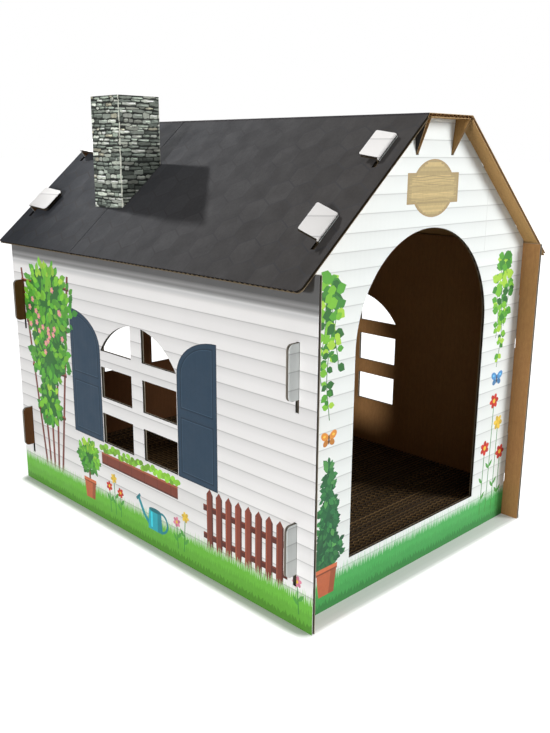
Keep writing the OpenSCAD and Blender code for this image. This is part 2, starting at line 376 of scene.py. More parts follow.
def flute_runs(solids, holes):
    """Runs of (u, n, low v, high v) along the fluted sheet's sine wave, each without a break."""
    low_u = min(p[0] for s in solids for p in s) + FLUTE_RECESS
    high_u = max(p[0] for s in solids for p in s) - FLUTE_RECESS
    count = int((high_u - low_u) / (FLUTE_PITCH / FLUTE_STEPS))
    reach = BOARD / 2 - LINER - FLUTE_SHEET / 2
    open_runs, done = [], []
    for k in range(count + 1):
        u = low_u + (high_u - low_u) * k / count
        n = -BOARD / 2 + reach * sin(tau * u / FLUTE_PITCH)
        spans, following = spans_at(solids, holes, u), []
        for span in spans:
            before = [r for r in open_runs if r[-1][2] < span[1] and r[-1][3] > span[0]]
            partners = [s for s in spans if before and before[0][-1][2] < s[1] and before[0][-1][3] > s[0]]
            row = (u, n, *span)
            if len(before) == 1 and len(partners) == 1:
                before[0].append(row)
                open_runs.remove(before[0])
                following.append(before[0])
            else:
                following.append([row])
        done.extend(open_runs)
        open_runs = following
    return [run for run in done + open_runs if len(run) >= 3]


def add_flutes(build, place, solids, holes):
    """The fluted sheet between the liners, as closed ribbons of sine waves that run along v."""
    for run in flute_runs(solids, holes):
        points, faces = [], []
        for u, n, a, b in run:
            for v, d in ((a, 0.5), (b, 0.5), (b, -0.5), (a, -0.5)):
                points.append(place(u, v, n + d * FLUTE_SHEET))
        last = 4 * (len(run) - 1)
        for k in range(0, last, 4):
            for side in range(4):
                a, b = k + side, k + (side + 1) % 4
                faces.append((b, a, a + 4, b + 4))
        faces.append((0, 1, 2, 3))
        faces.append((last + 3, last + 2, last + 1, last))
        build.add(points, faces, FLUTE)


def add_board(build, place, solids, holes=(), regions=(), marks=(), outer_rim=PRINT):
    """A whole board: a printed outer liner, flutes and a bare inner liner."""
    solids, holes = [ccw(s) for s in solids], [ccw(h) for h in holes]
    inks = [r[1] for r in regions]
    outer = cut_sheet(solids, holes, regions, marks)
    inner = cut_sheet(solids, holes, (), marks)
    add_liner(build, place, outer, inks, 0.0, -LINER, (PRINT, RIM, outer_rim), marks)
    add_liner(build, place, inner, (), LINER - BOARD, -BOARD, (RIM, KRAFT, RIM), marks)
    add_flutes(build, place, solids, holes)


# Inks
def ink(colour, strength=1.0):
    linear = []
    for value in colour:
        c = min(max(value / 255, 0), 1)
        linear.append(c / 12.92 if c <= 0.04045 else ((c + 0.055) / 1.055) ** 2.4)
    return (*linear, strength)


def tinted(colour, factor):
    return tuple(min(255, c * factor) for c in colour)


class Art:
    """Regions of print in painter's order, with a seeded source of small differences."""

    def __init__(self, seed):
        self.regions, self.rng = [], random.Random(seed)

    def add(self, points, colour, tint=1.0, strength=1.0):
        self.regions.append((points, ink(tinted(colour, tint), strength)))

    def spread(self, low, high):
        return self.rng.uniform(low, high)

    def pick(self, choices):
        return choices[self.rng.randrange(len(choices))]


NAVY, NAVY_DARK, NAVY_LIGHT = (33, 56, 75), (14, 36, 54), (52, 78, 97)
BROWN, BROWN_DARK, BROWN_LIGHT = (122, 60, 46), (84, 40, 32), (168, 92, 66)
LEAF_GREENS = ((44, 104, 44), (62, 134, 50), (88, 164, 54), (122, 190, 58), (166, 212, 70))
CONIFER_GREENS = ((30, 84, 52), (40, 104, 60), (58, 128, 70), (86, 152, 82))
SIDE_GRASS, GABLE_GRASS, BOX_GREEN = (102, 172, 60), (72, 158, 82), (142, 204, 66)
STEM, STEM_LEAF, IVY_STEM = (70, 140, 64), (84, 158, 70), (66, 120, 62)
BUSH_TRUNK, CONIFER_TRUNK = (110, 74, 48), (104, 70, 46)
RED, YELLOW, PINK = (206, 54, 44), (242, 206, 84), (228, 138, 164)
BLOOM_HEART, BLOSSOM, BLOSSOM_HEART = (238, 196, 70), (236, 150, 168), (246, 214, 96)
SKY_BLUE, ORANGE, INSECT = (88, 150, 206), (228, 150, 66), (60, 48, 44)
TERRACOTTA, TEAL, GREY_BLUE = (190, 104, 70), (56, 170, 184), (118, 140, 152)
# The last colour is the painted shade of a crease in the front wall.
PLATE_TAN, PLATE_EDGE, CREASE_SHADE_LINE = (187, 166, 117), (166, 140, 96), (214, 218, 215)
RIDGE_GREY, WORN_PAPER = (40, 37, 40), (226, 228, 214)
STONE_TONES = ((150, 158, 148), (130, 138, 128), (176, 182, 170), (112, 120, 112), (156, 154, 136),
               (142, 152, 140), (194, 199, 188), (84, 90, 84), (146, 150, 140))


# Garden motifs
def foliage(art, u, v, ru, rv, count, greens, size):
    """A ragged oval heap of leaves, from dark ones to light ones and lighter towards the top."""
    heap = []
    for x, y in oval(0, 0, ru * 0.94, rv * 0.94, 36):
        reach = art.spread(0.82, 1.04)
        heap.append((u + x * reach, v + y * reach))
    art.add(heap, greens[0])
    for k in range(count):
        share = k / count
        reach = sqrt(art.spread(0, 1)) * (1.0 - 0.2 * share)
        a = art.spread(0, tau)
        cu, cv = u + ru * reach * cos(a), v + rv * reach * sin(a)
        lit = 0.45 * share + 0.55 * (cv - v + rv) / (2 * rv)
        tone = greens[max(0, min(int(lit * len(greens) + art.spread(-0.7, 0.7)), len(greens) - 1))]
        length = size * art.spread(0.75, 1.25)
        art.add(leaf(cu, cv, length, length * 0.62, a + art.spread(-0.9, 0.9)), tone, art.spread(0.9, 1.1))


def grass(art, half, colour):
    """Strips of grass from the floor up, with ragged upper edges, from the rear one to the front one."""
    strips = ((31.0, 44.0, 2.2, 1.18, 0.55), (28.0, 37.0, 2.6, 1.08, 1.0), (17.0, 24.0, 3.4, 1.0, 1.0),
              (6.0, 12.0, 4.6, 0.84, 1.0))
    for low, high, step, tint, strength in strips:
        points, u = [(-half, -1.0), (half, -1.0)], half
        while u > -half + step:
            lean = art.spread(-0.8, 0.8) * step
            points.append((u, low + art.spread(-1.5, 1.5)))
            points.append((u - step * 0.5 + lean * 0.5, art.spread(0.6, 1.0) * (high - low) + low))
            u -= step
        points.append((-half, low))
        art.add(points, colour, tint, strength)


def petals(art, u, v, count, reach, long, wide, sides, colour, start=0.0, tints=(1.0, 1.0)):
    """A ring of petals; every second one takes the second tint."""
    for k in range(count):
        a = tau * k / count + start
        petal = oval(u + reach * cos(a), v + reach * sin(a), long, wide, sides, a)
        art.add(petal, colour, tints[k % 2])


def flower(art, u, base, top, bloom, colour):
    sway = art.spread(-3, 3)
    art.add(stroke([(u, base), (u + sway * 0.5, (base + top) / 2), (u + sway, top)], 1.3), STEM)
    for side in (-1, 1):
        height = base + (top - base) * art.spread(0.2, 0.5)
        art.add(leaf(u + sway * 0.3, height, 11, 4.2, pi / 2 - side * 0.7), STEM_LEAF)
    petals(art, u + sway, top, 6, bloom * 0.62, bloom * 0.5, bloom * 0.36, 10, colour, sway, (0.88, 1.0))
    art.add(oval(u + sway, top, bloom * 0.34, bloom * 0.34, 10), BLOOM_HEART)


def pot(art, u, base, height, half):
    """A clay pot with a rim, shaded on its right."""
    foot, shoulder, rim = half * 0.7, half * 0.92, height * 0.2
    top = base + height
    neck = top - rim
    art.add([(u - foot, base), (u + foot, base), (u + shoulder, neck), (u - shoulder, neck)], TERRACOTTA)
    art.add([(u + foot * 0.3, base), (u + foot, base), (u + shoulder, neck), (u + half * 0.4, neck)],
            TERRACOTTA, 0.82)
    art.add(rect(u - half, neck, u + half, top), TERRACOTTA, 1.12)
    art.add(rect(u - half, neck, u + half, top - rim * 0.7), TERRACOTTA, 0.7)


def topiary(art, u, base):
    """A round clipped bush on a short stem in a pot."""
    art.add(rect(u - 1.8, base + 22, u + 1.8, base + 40), BUSH_TRUNK)
    foliage(art, u, base + 53, 21, 20, 150, LEAF_GREENS, 8.0)
    pot(art, u, base, 25, 13)


def conifer(art, u, base, height, half):
    """A slim potted evergreen."""
    art.add(rect(u - 2, base + 24, u + 2, base + 40), CONIFER_TRUNK)
    levels, skirt = 12, 36
    for k in range(levels):
        share = k / levels
        v = base + skirt + (height - skirt) * share
        foliage(art, u, v, half * (1.02 - share), 9, 22, CONIFER_GREENS, 8.5)
    pot(art, u, base, 29, 15)


def trellis(art, u, base, top, half):
    """A fan of laths with a climber and small blossoms on it."""
    tall = top - base
    for share in (-1.0, -0.5, 0.0, 0.5, 1.0):
        lath = stroke([(u + share * half * 0.34, base), (u + share * half, top)], 4.2)
        art.add(lath, BROWN, 1.0 - 0.1 * abs(share))
    for height in (0.3, 0.52, 0.74, 0.94):
        wide = half * (0.34 + 0.66 * height) + 4
        v = base + tall * height
        art.add(rect(u - wide, v - 2, u + wide, v + 2), BROWN_DARK)
        art.add(rect(u - wide, v + 0.6, u + wide, v + 2), BROWN_LIGHT)
    for lift, wide, rv, count in ((0.36, 0.46, 30, 80), (0.6, 0.8, 40, 150), (0.84, 1.06, 50, 230)):
        foliage(art, u + art.spread(-6, 6), base + tall * lift, half * wide, rv, count, LEAF_GREENS, 12.0)
    for _ in range(20):
        a, reach = art.spread(0, tau), sqrt(art.spread(0.05, 0.8))
        cu = u + half * 0.85 * reach * cos(a)
        cv = base + tall * 0.78 + 52 * reach * sin(a)
        petals(art, cu, cv, 5, 2.1, 1.9, 1.5, 8, BLOSSOM)
        art.add(oval(cu, cv, 1.3, 1.3, 8), BLOSSOM_HEART)


def fence(art, u0, u1, base, top):
    """A stretch of pointed pickets on two rails."""
    for v in (base + (top - base) * 0.28, base + (top - base) * 0.7):
        art.add(rect(u0 - 3, v - 3.4, u1 + 3, v + 3.4), BROWN_DARK)
        art.add(rect(u0 - 3, v + 1.6, u1 + 3, v + 3.4), BROWN)
    count = round((u1 - u0) / 14)
    pitch = (u1 - u0) / count
    gap, edge, shoulder = 2.3, 2.2, top - 6
    for k in range(count):
        left, right = u0 + k * pitch + gap, u0 + (k + 1) * pitch - gap
        middle, tint = (left + right) / 2, art.spread(0.9, 1.1)
        picket = [(left, base), (right, base), (right, shoulder), (middle, top), (left, shoulder)]
        shade = [(right - edge, base), (right, base), (right, shoulder), (right - edge, top - 3.6)]
        art.add(picket, BROWN, tint)
        art.add(shade, BROWN_DARK, tint)
        art.add(rect(left + 0.8, base + 1, left + 1.7, top - 7), BROWN_LIGHT, tint)


def watering_can(art, u, base):
    top = base + 24
    art.add(stroke([(u - 11, base + 6), (u - 20, base + 14), (u - 30, base + 31)], 4.4), TEAL, 0.86)
    art.add(stroke([(u - 34, base + 28), (u - 27, base + 35)], 3.4), TEAL, 0.7)
    handle = arc(u + 11, base + 13, 11, 11, -pi / 2, pi / 2, 8)
    art.add(stroke(handle, 2.8), TEAL, 0.78)
    art.add([(u - 13, base), (u + 13, base), (u + 11, top), (u - 11, top)], TEAL)
    art.add([(u + 4, base), (u + 13, base), (u + 11, top), (u + 4, top)], TEAL, 0.8)
    art.add(rect(u - 8, base + 3, u - 5, base + 21), TEAL, 1.3)
    art.add(oval(u, top, 11, 2.6, 18), TEAL, 0.62)


def butterfly(art, u, v, size, colour):
    for side in (-1, 1):
        out = side * size
        upper = oval(u + out * 0.55, v + size * 0.35, size * 0.55, size * 0.38, 14, side * 0.5)
        lower = oval(u + out * 0.42, v - size * 0.3, size * 0.38, size * 0.3, 12, -side * 0.6)
        art.add(upper, colour)
        art.add(lower, colour, 0.84)
        art.add(oval(u + out * 0.6, v + size * 0.38, size * 0.18, size * 0.12, 9), colour, 1.4)
    art.add(oval(u, v, size * 0.1, size * 0.5, 10), INSECT)


def ivy(art, u, top, length, sway):
    """A hanging strand of ivy from a small wall bracket."""
    art.add(stroke([(u - 9, top + 6), (u, top + 9), (u + 9, top + 6)], 2.4), GREY_BLUE)
    art.add(oval(u, top + 9, 3, 3, 12), GREY_BLUE, 0.7)
    steps, leaves = 10, 34
    for strand, reach in ((-1, 0.72), (0, 1.0), (1, 0.62)):
        line = []
        for t in (k / steps for k in range(steps + 1)):
            apart = strand * 9 * sin(pi * 0.5 * min(1, 3 * t))
            line.append((u + apart + sway * sin(7 * t + strand), top + 6 - length * reach * t))
        art.add(stroke(line, 1.0), IVY_STEM)
        for k in range(int(leaves * reach)):
            lu, lv = line[min(int(k / (leaves * reach) * steps), steps)]
            side = -1 if k % 2 else 1
            size = art.spread(9, 14) * (1.15 - 0.5 * k / leaves)
            tone = art.pick(LEAF_GREENS)
            lv += art.spread(-5, 5)
            art.add(leaf(lu, lv, size, size * 0.8, pi / 2 - side * art.spread(0.9, 2.3)), tone)


def shutter(art, side):
    """A painted shutter with a quarter-round top and two sunk panels."""
    inner, outer, base, spring, top = 69.7, 131.7, 97.6, 206.0, 247.0
    upper_from, lower_to, border = 166.4, 168.6, 1.0

    def put(points, colour):
        art.add(points if side > 0 else mirrored(points), colour)

    def put_round(inset, low, colour):
        left, right = inner + inset, outer - inset
        curve = arc(right, spring, right - left, top - inset - spring, pi / 2, pi, 12)
        put([(left, low), (right, low)] + curve, colour)

    put_round(0, base, NAVY_DARK)
    put_round(border, base + border, NAVY)
    for inset, colour in ((5.4, NAVY_DARK), (7.0, NAVY_LIGHT), (7.7, NAVY)):
        put_round(inset, upper_from + inset, colour)
        put(rect(inner + inset, base + inset, outer - inset, lower_to - inset), colour)


def window_box(art):
    low, high, left, right = 70.3, 84.7, -75.7, 67.3
    foot, lip, boards, leaves = low + 2, high - 2.4, 6, 54
    art.add(rect(left, low, right, high), BROWN)
    art.add(rect(left, low, right, foot), BROWN_DARK)
    art.add(rect(left, lip, right, high), BROWN_LIGHT)
    for k in range(boards):
        u = left + (right - left) * (k + 0.5) / boards
        art.add(rect(u - 0.5, foot, u + 0.5, lip), BROWN, 0.82)
    for k in range(leaves):
        u = left - 2 + (right - left + 4) * (k + 0.5) / leaves
        sprig = oval(u, high + art.spread(2.0, 9.0), art.spread(3.2, 4.6), art.spread(2.6, 3.8), 10)
        art.add(sprig, BOX_GREEN, art.spread(0.74, 1.12))


# Prints of the walls
def side_art(seed, trellis_at, pot_at, can_at, fence_span, flowers):
    art = Art(seed)
    shutter(art, 1)
    shutter(art, -1)
    window_box(art)
    fence(art, *fence_span, 26, 98)
    trellis(art, trellis_at, 30, 282, 54)
    grass(art, HALF_L + 1, SIDE_GRASS)
    topiary(art, pot_at, 18)
    watering_can(art, can_at, 20)
    for u, top, colour in flowers:
        flower(art, u, 14, top, 5.6, colour)
    return art.regions


PLATE_V, PLATE_RU, PLATE_RV = 390.0, 33.0, 26.0
PLATE_HALF, PLATE_LOW, PLATE_HIGH, PLATE_BORDER = 40.0, 377.0, 403.4, 2.0


def plate_reach(v):
    """Half the width of the wooden plate at the height v."""
    if PLATE_LOW + PLATE_BORDER <= v <= PLATE_HIGH - PLATE_BORDER:
        return PLATE_HALF
    return PLATE_RU * sqrt(max(0, 1 - ((v - PLATE_V) / PLATE_RV) ** 2))


def wood_plate(art):
    """A bare wooden plate with a rounded swell above and below."""
    layers = ((1.0, PLATE_EDGE, 1.0), (0.0, PLATE_TAN, 0.9), (-PLATE_BORDER, PLATE_TAN, 1.0))
    for grow, colour, tint in layers:
        half = PLATE_HALF + grow
        art.add(oval(0, PLATE_V, PLATE_RU + grow, PLATE_RV + grow, 40), colour, tint)
        art.add(rect(-half, PLATE_LOW - grow, half, PLATE_HIGH + grow), colour, tint)
    rows, row_h = 24, 2
    for k in range(rows):
        v = PLATE_V + row_h * (k - rows / 2)
        half = min(plate_reach(v), plate_reach(v + row_h)) - PLATE_BORDER
        tint = 1 + 0.07 * sin(0.9 * k) + 0.05 * sin(2.3 * k)
        art.add(rect(-half, v, half, v + row_h), PLATE_TAN, tint)
    cap, inner = 4, PLATE_HALF - PLATE_BORDER
    for u in (-inner, inner - cap):
        art.add(rect(u, PLATE_LOW + PLATE_BORDER, u + cap, PLATE_HIGH - PLATE_BORDER), PLATE_TAN, 0.92)
    for k in range(9):
        v = 380 + 2.6 * k
        line = [(u, v + 0.7 * sin(u * 0.13 + k)) for u in range(-38, 39, 4)]
        art.add(stroke(line, art.spread(0.5, 1.3)), PLATE_TAN, art.spread(0.84, 1.1))


def front_art():
    art = Art(41)
    # A faint grey line along a vertical crease of the board: painted shade in the crease.
    art.add(stroke([(97, 322), (97, 408)], 0.9), CREASE_SHADE_LINE, strength=0.8)
    wood_plate(art)
    ivy(art, -142, 306, 122, 3.0)
    ivy(art, 141, 306, 122, -3.0)
    grass(art, GABLE_HALF_W + 14, GABLE_GRASS)
    conifer(art, -139, 16, 132, 21)
    for u, top, colour in ((126, 96, RED), (138, 150, RED), (150, 122, YELLOW), (161, 84, RED)):
        flower(art, u, 14, top, 8.2, colour)
    butterfly(art, 142, 176, 11, SKY_BLUE)
    butterfly(art, -140, 172, 10, ORANGE)
    return art.regions


def rear_art():
    art = Art(97)
    ivy(art, -128, 300, 96, 3.0)
    ivy(art, 128, 300, 96, -3.0)
    grass(art, GABLE_HALF_W + 14, GABLE_GRASS)
    for k in range(9):
        top = 52 + 8 * ((k * 5) % 4)
        flower(art, -152 + 38 * k, 12, top, 6.4, (RED, YELLOW, PINK)[k % 3])
    conifer(art, 118, 14, 112, 19)
    topiary(art, -112, 14)
    return art.regions


# Prints of the roof and the chimney
def shingles(seed, side):
    """Staggered six-sided shingles in close greys, bluer at the rear and browner at the front."""
    art = Art(seed)
    width, row_step, point, gap = 29.0, 25.0, 9.0, 0.5
    half = width / 2 - gap
    rows = int(SLOPE_LENGTH / row_step) + 2
    columns = int(2 * HALF_ROOF / width) + 3
    for row in range(rows):
        low = -SLOPE_LENGTH - point + row * row_step
        high = low + row_step
        for column in range(columns):
            u = -HALF_ROOF - width + (column + 0.5 * (row % 2)) * width
            shape = [(u - half, low + point + gap), (u, low + 2 * gap), (u + half, low + point + gap),
                     (u + half, high - gap), (u, high + point - 2 * gap), (u - half, high - gap)]
            light = (column + row // 2) % 2
            grey = 54 + 4 * light + art.spread(-1.5, 1.5)
            front = -side * u / HALF_ROOF
            art.add(shape, (grey + 1.5 * front, grey - front, grey + 2 - 4 * front))
    art.add(rect(-HALF_ROOF, -RIDGE_LINE, HALF_ROOF, 0), RIDGE_GREY)
    return art.regions


# Stones start at the first height; the factor darkens the chimney's front stones as painted shade.
STONES_FROM, FRONT_PAINTED_SHADE = 336.0, 0.88
STONE_SHARES, STONE_PINCH = (0.0, 0.25, 0.5, 0.75, 1.0), (0.5, 0.0, 0.0, 0.0, 0.5)


def add_stone(art, left, right, low, high, dim):
    """A rough stone with a shade along its foot and, on most, a light streak near its top."""
    at = [left + (right - left) * share for share in STONE_SHARES]
    lower = [(x, low + bite + art.spread(-0.4, 0.5)) for x, bite in zip(at, STONE_PINCH)]
    upper = []
    for (x, y), bite in zip(lower, STONE_PINCH):
        upper.append((x, max(high - bite + art.spread(-0.6, 0.4), y + 0.5)))
    tone = tinted(art.pick(STONE_TONES), dim * art.spread(0.88, 1.3))
    art.add(lower + upper[::-1], tone)
    shade = [(x, y + (high - low) * art.spread(0.08, 0.24)) for x, y in lower]
    art.add(lower + shade[::-1], tone, 0.5)
    if right - left > 4 and art.spread(0, 1) < 0.8:
        top = high - art.spread(0.7, 1.2)
        first = art.rng.randrange(2)
        streak = [(at[first] + 0.6, top), (right - 0.8, top + art.spread(-0.4, 0.3)),
                  (right - 1.2, top - 0.9), (at[first + 1], top - 0.7)]
        art.add(streak, tone, 1.5)


def stones(length, shade_from, shade_to):
    """Rows of rough ledge stones for the unrolled chimney, with dark joints left between them.

    The stones on the chimney's front, between the two marks given, are darker: painted shade on the side
    turned away from the light.
    """
    art = Art(7)
    v = STONES_FROM
    while v < CHIMNEY_TOP:
        height = art.spread(2.8, 5.6)
        u = art.spread(-10, 0)
        sway, phase = art.spread(0.3, 0.9), art.spread(0, 6)
        while u < length:
            wide = art.spread(6, 19)
            drift = sway * sin(u / 9 + phase)
            tall = height * (art.spread(1.3, 1.9) if art.spread(0, 1) < 0.12 else 1.0)
            low, high = v + art.spread(0.1, 0.5) + drift, v + tall - art.spread(0.1, 0.5) + drift
            left, right = u + art.spread(0.2, 0.6), u + wide - art.spread(0.2, 0.6)
            # Stones on the chimney's front take a painted shade.
            on_front = shade_from < (left + right) / 2 < shade_to
            add_stone(art, left, right, low, high, FRONT_PAINTED_SHADE if on_front else 1.0)
            u += wide
        v += height
    return art


# Materials
class Graph:
    """The nodes of a material or a world, with short calls for them and their links."""

    def __init__(self, owner, output="ShaderNodeOutputMaterial"):
        owner.use_nodes = True
        self.owner, self.tree = owner, owner.node_tree
        self.tree.nodes.clear()
        self.output = self.node(output)

    def node(self, kind, inputs=None, **settings):
        """A new node; each of its inputs is linked to a socket or set to a value."""
        made = self.tree.nodes.new(kind)
        for key, value in settings.items():
            setattr(made, key, value)
        for key, value in (inputs or {}).items():
            if isinstance(value, bpy.types.NodeSocket):
                self.tree.links.new(value, made.inputs[key])
            else:
                made.inputs[key].default_value = value
        return made

    def math(self, operation, *values):
        return self.node("ShaderNodeMath", dict(enumerate(values)), operation=operation).outputs[0]

    def vector(self, operation, *values):
        return self.node("ShaderNodeVectorMath", dict(enumerate(values)), operation=operation).outputs

    def mix(self, factor, a, b, kind="MIX"):
        inputs = {0: factor, 6: a, 7: b}
        return self.node("ShaderNodeMix", inputs, data_type="RGBA", blend_type=kind).outputs[2]

    def times(self, a, b):
        return self.mix(1.0, a, b, "MULTIPLY")

    def ramp(self, factor, stops):
        made = self.node("ShaderNodeValToRGB", {0: factor})
        elements = made.color_ramp.elements
        while len(elements) < len(stops):
            elements.new(0.5)
        for element, (place, value) in zip(elements, stops):
            element.position = place
            element.color = value if isinstance(value, tuple) else (value, value, value, 1.0)
        return made.outputs[0]

    def noise(self, vector, scale, detail=3.0, roughness=0.5):
        inputs = {"Vector": vector, "Scale": scale, "Detail": detail, "Roughness": roughness}
        return self.node("ShaderNodeTexNoise", inputs).outputs["Fac"]

    def where(self):
        return self.node("ShaderNodeTexCoord").outputs["Object"]

    def parts(self, vector):
        """The X, Y and Z of a point."""
        return self.node("ShaderNodeSeparateXYZ", {0: vector}).outputs

    def seen(self):
        """1 where the camera or a reflection looks, else 0."""
        rays = self.node("ShaderNodeLightPath").outputs
        return self.math("MAXIMUM", rays["Is Camera Ray"], rays["Is Glossy Ray"])

    def show(self, shader):
        self.tree.links.new(shader.outputs[0], self.output.inputs[0])

    def finish(self, colour, rough, specular, height, strength, distance):
        bump = self.node("ShaderNodeBump", {"Height": height, "Strength": strength, "Distance": distance})
        inputs = {"Base Color": colour, "Roughness": rough, "Specular IOR Level": specular,
                  "Normal": bump.outputs[0]}
        self.show(self.node("ShaderNodeBsdfPrincipled", inputs))
        return self.owner


UPRIGHT, ACROSS = ("X", "Y"), ("Y",)
SIDING_PITCH, SIDING_START = 15.9, 5.3
EAVE_SHADE_FROM, EAVE_SHADE_RISE = 285.0, 18.0


def shaded(colour, factor):
    return (*(factor * c for c in colour[:3]), 1.0)


def washboard(graph, parts, along):
    """Faint waves where the flutes press through a liner."""
    total = parts[along[0]]
    for axis in along[1:]:
        total = graph.math("ADD", total, parts[axis])
    return graph.math("SINE", graph.math("MULTIPLY", total, tau / (FLUTE_PITCH * MM)))


def printed(name, base, ink_noise=0.07, rough=0.5, specular=0.25, along=UPRIGHT):
    """Coated print: a base pattern, the inks of the regions over it, and paper under both."""
    graph = Graph(bpy.data.materials.new(name))
    where = graph.where()
    parts = graph.parts(where)
    region = graph.node("ShaderNodeAttribute", attribute_name="ink").outputs
    grain = graph.ramp(graph.noise(where, 320.0, 4.0, 0.6), ((0.25, 1 - ink_noise), (0.75, 1 + ink_noise)))
    inked = graph.times(region["Color"], grain)
    colour = graph.mix(region["Alpha"], base(graph, where, parts), inked)
    patches = graph.ramp(graph.noise(where, 9.0, 2.0), ((0.3, 0.965), (0.7, 1.0)))
    waves = graph.math("MULTIPLY", washboard(graph, parts, along), 0.35)
    height = graph.math("ADD", graph.noise(where, 1500.0, 2.0), waves)
    gloss = graph.ramp(graph.noise(where, 60.0), ((0.3, rough - 0.05), (0.7, rough + 0.06)))
    return graph.finish(graph.times(colour, patches), gloss, specular, height, 0.25, 0.0001)


def siding_base(line, shade_low, tint_low, cast, eave=False):
    """Lapped boards: a thin line under each lap, a soft shade below it and boards of different tints.

    With eave, a printed shadow darkens in bands towards the top of the wall.
    """
    def share_of(graph, z, start, size):
        return graph.math("DIVIDE", graph.math("SUBTRACT", z, start * MM), size * MM)

    def base(graph, where, parts):
        row = share_of(graph, parts["Z"], SIDING_START, SIDING_PITCH)
        number = graph.math("FLOOR", row)
        odd = graph.node("ShaderNodeTexWhiteNoise", {"W": number}, noise_dimensions="1D").outputs["Value"]
        shade = graph.ramp(graph.math("FRACT", row), (
            (0.0, 0.88), (0.05, 0.91), (0.45, 0.89), (0.8, (1 + shade_low) * 0.44),
            (0.925, shade_low * 0.88), (0.955, line), (0.985, line * 1.06), (1.0, 0.82)))
        tint = graph.ramp(odd, ((0.0, shaded(cast, tint_low)), (0.45, shaded(cast, (1 + tint_low) / 2)),
                                (0.8, shaded(cast, 1))))
        boards = graph.times(shade, tint)
        if not eave:
            return boards
        height = share_of(graph, parts["Z"], EAVE_SHADE_FROM, EAVE_SHADE_RISE)
        plain = graph.ramp(height, ((0.1, 0.0), (0.25, 1.0)))
        bands = graph.ramp(height, (
            (0.0, 1.0), (0.11, 0.88), (0.28, 0.7), (0.39, 0.78), (0.5, 0.42), (0.64, 0.23),
            (0.78, 0.33), (0.89, 0.23), (1.0, 0.12)))
        even = graph.mix(plain, boards, graph.ramp(height, ((0.0, 0.84), (1.0, 0.88))))
        return graph.times(even, bands)
    return base


def joint_base(scale, low, high):
    """Dark joints between shingles or stones, in patches of two close tones."""
    def base(graph, where, parts):
        return graph.ramp(graph.noise(where, scale), ((0.3, (*low, 1)), (0.7, (*high, 1))))
    return base


def kraft(name, colour, along=UPRIGHT, painted_shade_below=None, tab_colour=None):
    """Bare kraft paper: fibres, flecks and faint stripes over the flutes.

    Below a given height it darkens with depth: painted shade for the hollows between the pad's strips.
    Outside the side walls, on the side tabs, it takes tab_colour.
    """
    graph = Graph(bpy.data.materials.new(name))
    where = graph.where()
    parts = graph.parts(where)
    stretched = graph.node("ShaderNodeMapping", {0: where, "Scale": (1.0, 1.0, 0.25)}).outputs[0]
    fibres = graph.noise(stretched, 700.0, 5.0, 0.65)
    stripes = washboard(graph, parts, along)
    tone = graph.ramp(fibres, ((0.3, shaded(ink(colour), 0.84)), (0.7, shaded(ink(colour), 1.12))))
    tone = graph.times(tone, graph.ramp(graph.noise(where, 1400.0, 1.0), ((0.27, 0.66), (0.34, 1.0))))
    band = graph.math("MULTIPLY_ADD", stripes, 0.5, 0.5)
    tone = graph.times(tone, graph.ramp(band, ((0.0, 0.96), (1.0, 1.0))))
    tone = graph.times(tone, graph.ramp(graph.noise(where, 14.0, 2.0), ((0.3, 0.93), (0.7, 1.03))))
    if tab_colour is not None:
        on_tab = graph.math("GREATER_THAN", graph.math("ABSOLUTE", parts["X"]), HALF_W * MM)
        tone = graph.mix(on_tab, tone, ink(tab_colour))
    # Painted shade, darker with depth below the given height.
    if painted_shade_below is not None:
        below = graph.math("SUBTRACT", painted_shade_below * MM, parts["Z"])
        depth = graph.math("DIVIDE", below, PAD_DEPTH * MM)
        tone = graph.times(tone, graph.ramp(depth, ((0.1, 1.0), (0.45, 0.1))))
    height = graph.math("ADD", fibres, graph.math("MULTIPLY", stripes, 0.6))
    return graph.finish(tone, 0.82, 0.25, height, 0.35, 0.00015)


side_print = printed("side_print", siding_base(0.52, 0.84, 0.93, (1.0, 0.985, 0.975), eave=True))
gable_print = printed("gable_print", siding_base(0.6, 0.92, 0.97, (0.96, 1.0, 0.98)))
tab_print = printed("tab_print", siding_base(0.6, 0.95, 0.98, (1.0, 0.98, 0.96)))
roof_joints = joint_base(30.0, (0.034, 0.033, 0.035), (0.039, 0.038, 0.040))
roof_print = printed("roof_print", roof_joints, 0.1, 0.88, 0.12, ACROSS)
stone_joints = joint_base(120.0, (0.012, 0.014, 0.012), (0.03, 0.034, 0.03))
stone_print = printed("stone_print", stone_joints, 0.3, 0.7, 0.15)
wall_kraft = kraft("wall_kraft", (152, 111, 67))
# The rear wall's bare face is a darker kraft: painted shade for the dark room and the shaded rear side
# tabs.
rear_kraft_shaded = kraft("rear_kraft_shaded", (112, 72, 40))
roof_kraft = kraft("roof_kraft", (178, 140, 88), ACROSS)
rim_kraft = kraft("rim_kraft", (186, 158, 116))
gable_rim = kraft("gable_rim", (124, 110, 88), tab_colour=(188, 182, 172))
# Painted shade: each fluted sheet is far darker than its liners, for the hollows between the flutes.
flute_kraft_shaded = kraft("flute_kraft_shaded", (96, 70, 42))
gable_flute_shaded = kraft("gable_flute_shaded", (54, 43, 31), tab_colour=(150, 143, 132))
roof_rim = kraft("roof_rim", (128, 112, 88), ACROSS)
# Painted shade: a fluted sheet darker than its liners.
roof_flute_shaded = kraft("roof_flute_shaded", (38, 32, 26), ACROSS)
side_rim = kraft("side_rim", (176, 166, 148))
# Painted shade: a fluted sheet darker than its liners.
side_flute_shaded = kraft("side_flute_shaded", (42, 34, 25))
# The pad's krafts take painted shade with depth, in the hollows between its strips.
pad_kraft = kraft("pad_kraft", (136, 107, 67), painted_shade_below=PAD_H)
pad_liner = kraft("pad_liner", (58, 44, 27), painted_shade_below=PAD_H)
